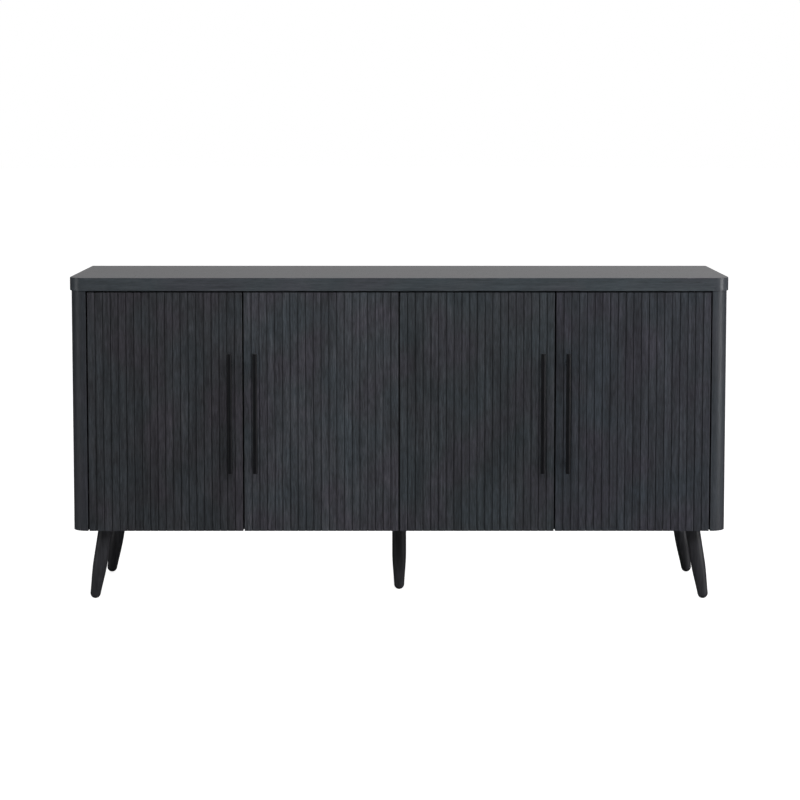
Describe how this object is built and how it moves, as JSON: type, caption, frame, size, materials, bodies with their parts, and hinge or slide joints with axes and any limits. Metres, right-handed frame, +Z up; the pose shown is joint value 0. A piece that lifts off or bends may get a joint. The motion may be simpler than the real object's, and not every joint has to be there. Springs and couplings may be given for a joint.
{
  "type": "sideboard",
  "caption": "Long low storage sideboard with hinged vertical-slatted doors, bar handles, inner shelves, a thick top and splayed turned legs.",
  "frame": {"origin": "on the floor under the middle of the outline, handles included", "axes": "+Z up, the doors face -Y, +X to the right of someone who faces the doors"},
  "size_m": [1.5, 0.4295, 0.746],
  "materials": {
    "charcoal_grain_board": "charcoal wood-grain foil on board, matt with a low sheen",
    "dark_stained_wood": "turned solid wood, black stain under satin lacquer",
    "dark_hardboard": "thin hardboard, matt dark face",
    "beech": "plain beech",
    "black_metal": "black powder coat, satin",
    "zinc_steel": "bright zinc or nickel plate",
    "grey_rubber": "soft grey rubber"
  },
  "bodies": {
    "carcass": {"top_panel": "charcoal_grain_board", "left_side_panel": "charcoal_grain_board", "right_side_panel": "charcoal_grain_board", "bottom_panel": "charcoal_grain_board", "centre_partition": "charcoal_grain_board", "left_back_panel": "dark_hardboard", "right_back_panel": "dark_hardboard", "left_shelf": "charcoal_grain_board", "right_shelf": "charcoal_grain_board", "cam_locks": "zinc_steel", "cam_bolts": "zinc_steel", "dowels": "beech", "shelf_pins": "zinc_steel", "back_panel_screws": "zinc_steel", "front_left_leg": "dark_stained_wood", "front_right_leg": "dark_stained_wood", "back_left_leg": "dark_stained_wood", "back_right_leg": "dark_stained_wood", "centre_leg": "dark_stained_wood", "leg_plates": "black_metal", "leg_plate_screws": "zinc_steel", "leg_bolts": "zinc_steel", "hinge_pins": "zinc_steel", "hinge_plates": "zinc_steel", "hinge_plate_screws": "zinc_steel", "left_outer_door_hinge_arms": "zinc_steel", "left_inner_door_hinge_arms": "zinc_steel", "right_inner_door_hinge_arms": "zinc_steel", "right_outer_door_hinge_arms": "zinc_steel"},
    "left_outer_door": {"left_outer_door_panel": "charcoal_grain_board", "left_outer_door_handle_bar": "black_metal", "left_outer_door_handle_posts": "black_metal", "left_outer_door_handle_screws": "zinc_steel", "left_outer_door_bumper": "grey_rubber", "left_outer_door_hinge_cups": "zinc_steel", "left_outer_door_hinge_cup_screws": "zinc_steel"},
    "left_inner_door": {"left_inner_door_panel": "charcoal_grain_board", "left_inner_door_handle_bar": "black_metal", "left_inner_door_handle_posts": "black_metal", "left_inner_door_handle_screws": "zinc_steel", "left_inner_door_bumper": "grey_rubber", "left_inner_door_hinge_cups": "zinc_steel", "left_inner_door_hinge_cup_screws": "zinc_steel"},
    "right_inner_door": {"right_inner_door_panel": "charcoal_grain_board", "right_inner_door_handle_bar": "black_metal", "right_inner_door_handle_posts": "black_metal", "right_inner_door_handle_screws": "zinc_steel", "right_inner_door_bumper": "grey_rubber", "right_inner_door_hinge_cups": "zinc_steel", "right_inner_door_hinge_cup_screws": "zinc_steel"},
    "right_outer_door": {"right_outer_door_panel": "charcoal_grain_board", "right_outer_door_handle_bar": "black_metal", "right_outer_door_handle_posts": "black_metal", "right_outer_door_handle_screws": "zinc_steel", "right_outer_door_bumper": "grey_rubber", "right_outer_door_hinge_cups": "zinc_steel", "right_outer_door_hinge_cup_screws": "zinc_steel"}
  },
  "joints": [
    {"name": "left_outer_door_hinge", "type": "hinge", "parent": "carcass", "child": "left_outer_door", "pos_m": [-0.6965, -0.17525, 0.43925], "axis": [0, 0, -1], "range_deg": [0, 100]},
    {"name": "left_inner_door_hinge", "type": "hinge", "parent": "carcass", "child": "left_inner_door", "pos_m": [-0.0125, -0.17525, 0.43925], "axis": [0, 0, 1], "range_deg": [0, 84]},
    {"name": "right_inner_door_hinge", "type": "hinge", "parent": "carcass", "child": "right_inner_door", "pos_m": [0.0125, -0.17525, 0.43925], "axis": [0, 0, -1], "range_deg": [0, 84]},
    {"name": "right_outer_door_hinge", "type": "hinge", "parent": "carcass", "child": "right_outer_door", "pos_m": [0.6965, -0.17525, 0.43925], "axis": [0, 0, 1], "range_deg": [0, 100]}
  ]
}
